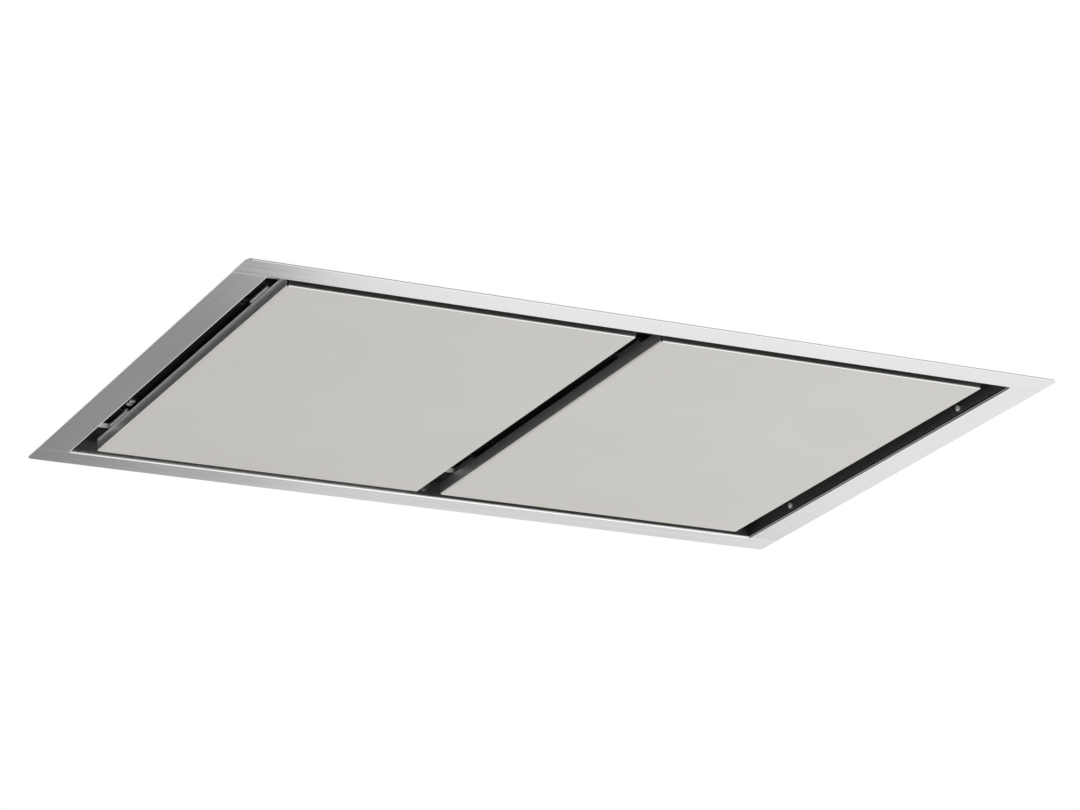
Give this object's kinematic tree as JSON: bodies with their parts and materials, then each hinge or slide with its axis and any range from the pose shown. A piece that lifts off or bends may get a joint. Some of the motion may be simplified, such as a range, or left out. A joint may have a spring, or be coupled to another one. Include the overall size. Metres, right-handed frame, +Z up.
{
  "type": "ceiling range hood",
  "caption": "Ceiling-recessed range hood with a brushed trim frame, flush hinged suction panels, grease filters, blower box and duct spigot.",
  "frame": {"origin": "centre of the ceiling opening, in the plane of the ceiling, which the trim frame's upper face lies on", "axes": "+Z up, +X along the long side, +Y to the back; the duct spigot points to +X"},
  "size_m": [1, 0.7, 0.3115],
  "materials": {
    "trim_steel": "brushed stainless steel, grain along each strip",
    "panel_enamel": "satin warm light grey enamel on steel",
    "galvanised": "bare galvanised sheet steel",
    "bright_steel": "bright zinc-plated steel",
    "dark_enamel": "matt black enamel on steel",
    "black_plastic": "black moulded plastic",
    "grey_plastic": "light grey moulded plastic",
    "ferrite": "sintered ferrite",
    "filter_aluminium": "bare rolled aluminium",
    "motor_aluminium": "cast aluminium",
    "soft_rubber": "black rubber",
    "board_green": "green circuit board"
  },
  "bodies": {
    "hood": {"trim_front": "trim_steel", "trim_back": "trim_steel", "trim_left": "trim_steel", "trim_right": "trim_steel", "trim_screws": "bright_steel", "hinge_brackets": "bright_steel", "hinge_pins": "bright_steel", "hinge_screws": "bright_steel", "magnet_holders": "black_plastic", "catch_magnets": "ferrite", "left_rail": "dark_enamel", "middle_rail": "dark_enamel", "right_rail": "dark_enamel", "bed_plate": "dark_enamel", "filter_nets": "filter_aluminium", "casing_front_wall": "galvanised", "casing_back_wall": "galvanised", "casing_left_wall": "galvanised", "casing_right_wall": "galvanised", "casing_top": "galvanised", "casing_screws": "bright_steel", "suspension_brackets": "galvanised", "inlet_ring": "galvanised", "scroll_wall": "galvanised", "scroll_top": "galvanised", "motor": "motor_aluminium", "motor_bushes": "soft_rubber", "blower_box_wrap": "galvanised", "blower_box_outlet_side": "galvanised", "blower_box_lid": "galvanised", "duct_spigot": "black_plastic", "flap_rod": "bright_steel", "control_box": "grey_plastic", "control_lid": "grey_plastic", "circuit_board": "board_green", "terminal_block": "black_plastic", "cable_gland": "black_plastic", "motor_lead": "soft_rubber", "lead_grommets": "soft_rubber", "filter_frame_left_front": "filter_aluminium", "filter_frame_left_back": "filter_aluminium", "filter_frame_right_front": "filter_aluminium", "filter_frame_right_back": "filter_aluminium"},
    "left_panel": {"left_panel": "panel_enamel", "left_panel_stiffeners": "galvanised", "left_panel_hinge_leaves": "bright_steel"},
    "right_panel": {"right_panel": "panel_enamel", "right_panel_stiffeners": "galvanised", "right_panel_hinge_leaves": "bright_steel"},
    "blower_wheel": {"wheel_disc": "galvanised", "wheel_ring": "galvanised", "wheel_blades": "galvanised", "motor_shaft": "bright_steel"},
    "front_flap": {"front_flap": "black_plastic"},
    "back_flap": {"back_flap": "black_plastic"},
    "latch_left_front": {"filter_latch_left_front": "black_plastic"},
    "latch_left_back": {"filter_latch_left_back": "black_plastic"},
    "latch_right_front": {"filter_latch_right_front": "black_plastic"},
    "latch_right_back": {"filter_latch_right_back": "black_plastic"}
  },
  "joints": [
    {"name": "left_panel_hinge", "type": "hinge", "parent": "hood", "child": "left_panel", "pos_m": [-0.4316, 0, 0.0165], "axis": [0, 1, 0], "range_deg": [0, 90]},
    {"name": "right_panel_hinge", "type": "hinge", "parent": "hood", "child": "right_panel", "pos_m": [0.01515, 0, 0.0165], "axis": [0, 1, 0], "range_deg": [0, 90]},
    {"name": "wheel_spin", "type": "hinge", "parent": "hood", "child": "blower_wheel", "pos_m": [0, -0.04, 0.2], "axis": [0, 0, 1], "continuous": true},
    {"name": "front_flap_hinge", "type": "hinge", "parent": "hood", "child": "front_flap", "pos_m": [0.188, 0.08018, 0.195], "axis": [0, 0, 1], "range_deg": [0, 70], "stiffness_Nm_per_rad": 0.02},
    {"name": "back_flap_hinge", "type": "hinge", "parent": "hood", "child": "back_flap", "pos_m": [0.188, 0.08018, 0.195], "axis": [0, 0, -1], "range_deg": [0, 70], "stiffness_Nm_per_rad": 0.02},
    {"name": "latch_left_front_slide", "type": "slide", "parent": "hood", "child": "latch_left_front", "axis": [-1, 0, 0], "range_m": [0, 0.008], "stiffness_N_per_m": 200, "springref_m": -0.002},
    {"name": "latch_left_back_slide", "type": "slide", "parent": "hood", "child": "latch_left_back", "axis": [-1, 0, 0], "range_m": [0, 0.008], "stiffness_N_per_m": 200, "springref_m": -0.002},
    {"name": "latch_right_front_slide", "type": "slide", "parent": "hood", "child": "latch_right_front", "axis": [1, 0, 0], "range_m": [0, 0.008], "stiffness_N_per_m": 200, "springref_m": -0.002},
    {"name": "latch_right_back_slide", "type": "slide", "parent": "hood", "child": "latch_right_back", "axis": [1, 0, 0], "range_m": [0, 0.008], "stiffness_N_per_m": 200, "springref_m": -0.002}
  ]
}
